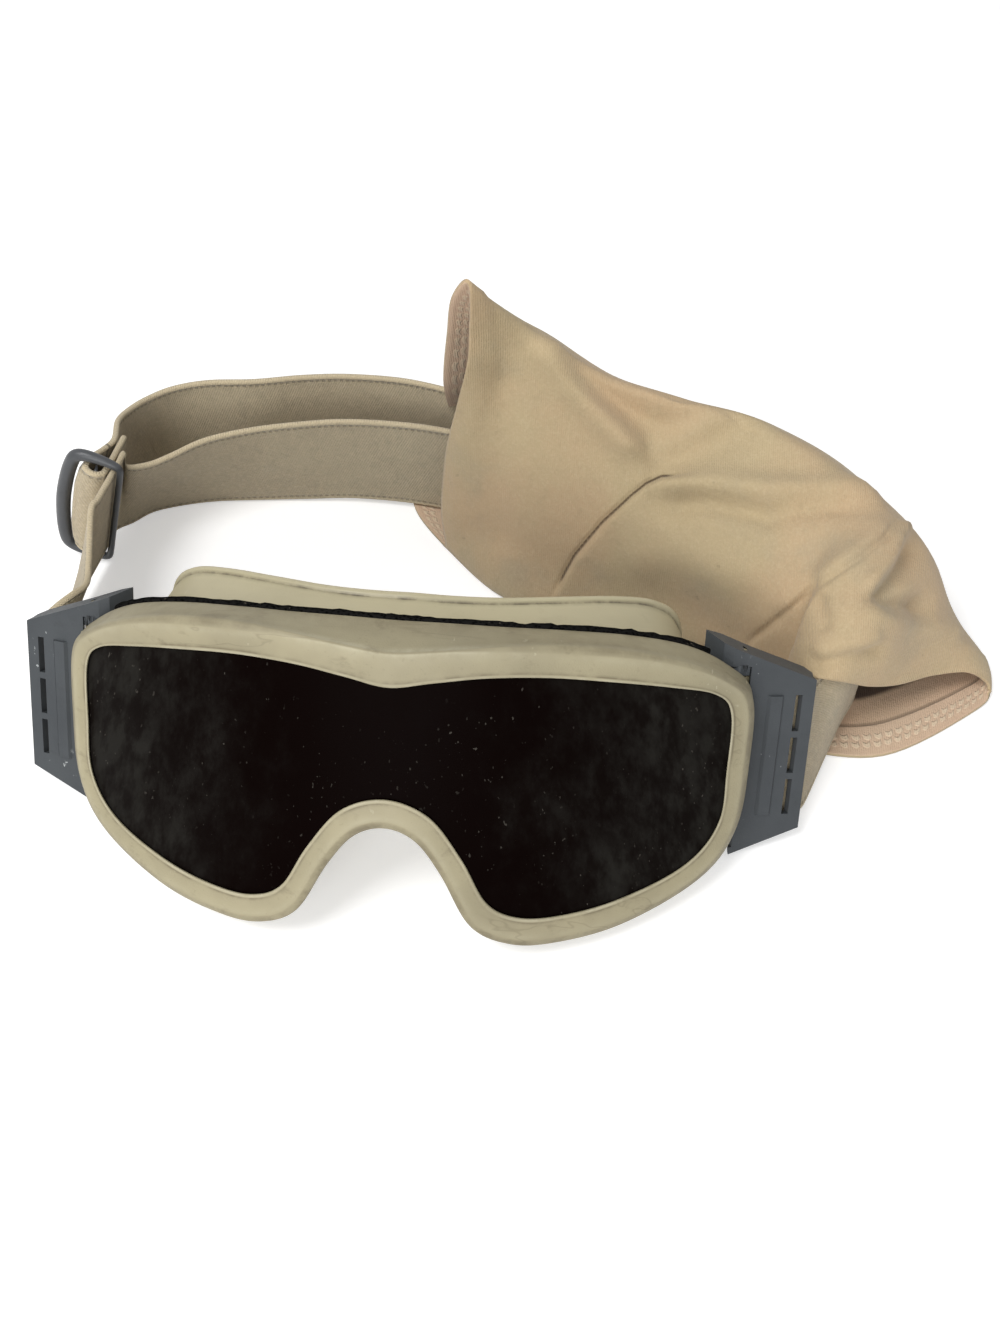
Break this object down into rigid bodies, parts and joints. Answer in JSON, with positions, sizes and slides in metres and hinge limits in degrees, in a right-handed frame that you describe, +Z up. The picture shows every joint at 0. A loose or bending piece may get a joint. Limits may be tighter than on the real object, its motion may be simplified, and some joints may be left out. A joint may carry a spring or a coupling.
{
  "type": "tactical goggles",
  "caption": "Wrap-around tactical goggles with a smoke lens, foam-lined face seal, swivelling strap clips, an elastic strap with a slider, and a cloth sleeve that covers the lens.",
  "frame": {"origin": "centre of the outline on the table, on the resting plane", "axes": "+X to the right as seen from in front of the lens, +Y from the lens towards the strap behind it, +Z up"},
  "size_m": [0.2766, 0.1866, 0.106],
  "materials": {
    "frame": "satin tan thermoplastic rubber with a matte moulded face",
    "seal": "soft cream tan rubber, slightly glossy",
    "lens": "dark smoke polycarbonate, glossy, dusty and lightly scratched",
    "foam": "black open-cell foam",
    "clip": "slate grey nylon with a fine moulded texture and scuffed edges",
    "webbing": "tan woven elastic with a ribbed weave and stitched rows",
    "slider": "dark grey moulded nylon",
    "sleeve_cloth": "smooth sandy tan microfibre with double-stitched hems"
  },
  "bodies": {
    "frame": {"front_frame": "frame", "face_flange": "seal", "lens": "lens", "face_foam": "foam", "vent_foam_top": "foam", "vent_foam_left": "foam", "vent_foam_right": "foam", "strap_tail": "webbing", "strap_front_run": "webbing", "strap_rear_run": "webbing"},
    "left_clip": {"left_clip": "clip", "left_strap_loop": "webbing"},
    "right_clip": {"right_clip": "clip", "right_strap_loop": "webbing"},
    "slider": {"slider": "slider", "strap_sewn_end": "webbing"},
    "sleeve": {"sleeve": "sleeve_cloth"}
  },
  "joints": [
    {"name": "left_clip_pivot", "type": "hinge", "parent": "frame", "child": "left_clip", "pos_m": [-0.1011, -0.03902, 0.02509], "axis": [0, -0.5446, -0.8387], "range_deg": [0, 40]},
    {"name": "right_clip_pivot", "type": "hinge", "parent": "frame", "child": "right_clip", "pos_m": [0.0619, -0.03902, 0.02509], "axis": [0, 0.5446, 0.8387], "range_deg": [0, 40]},
    {"name": "slider_slide", "type": "slide", "parent": "frame", "child": "slider", "axis": [-0.09, -0.9959, 0], "range_m": [0, 0.01]},
    {"name": "sleeve_slide", "type": "slide", "parent": "frame", "child": "sleeve", "axis": [0.8984, -0.4392, 0], "range_m": [-0.003, 0.004]}
  ]
}
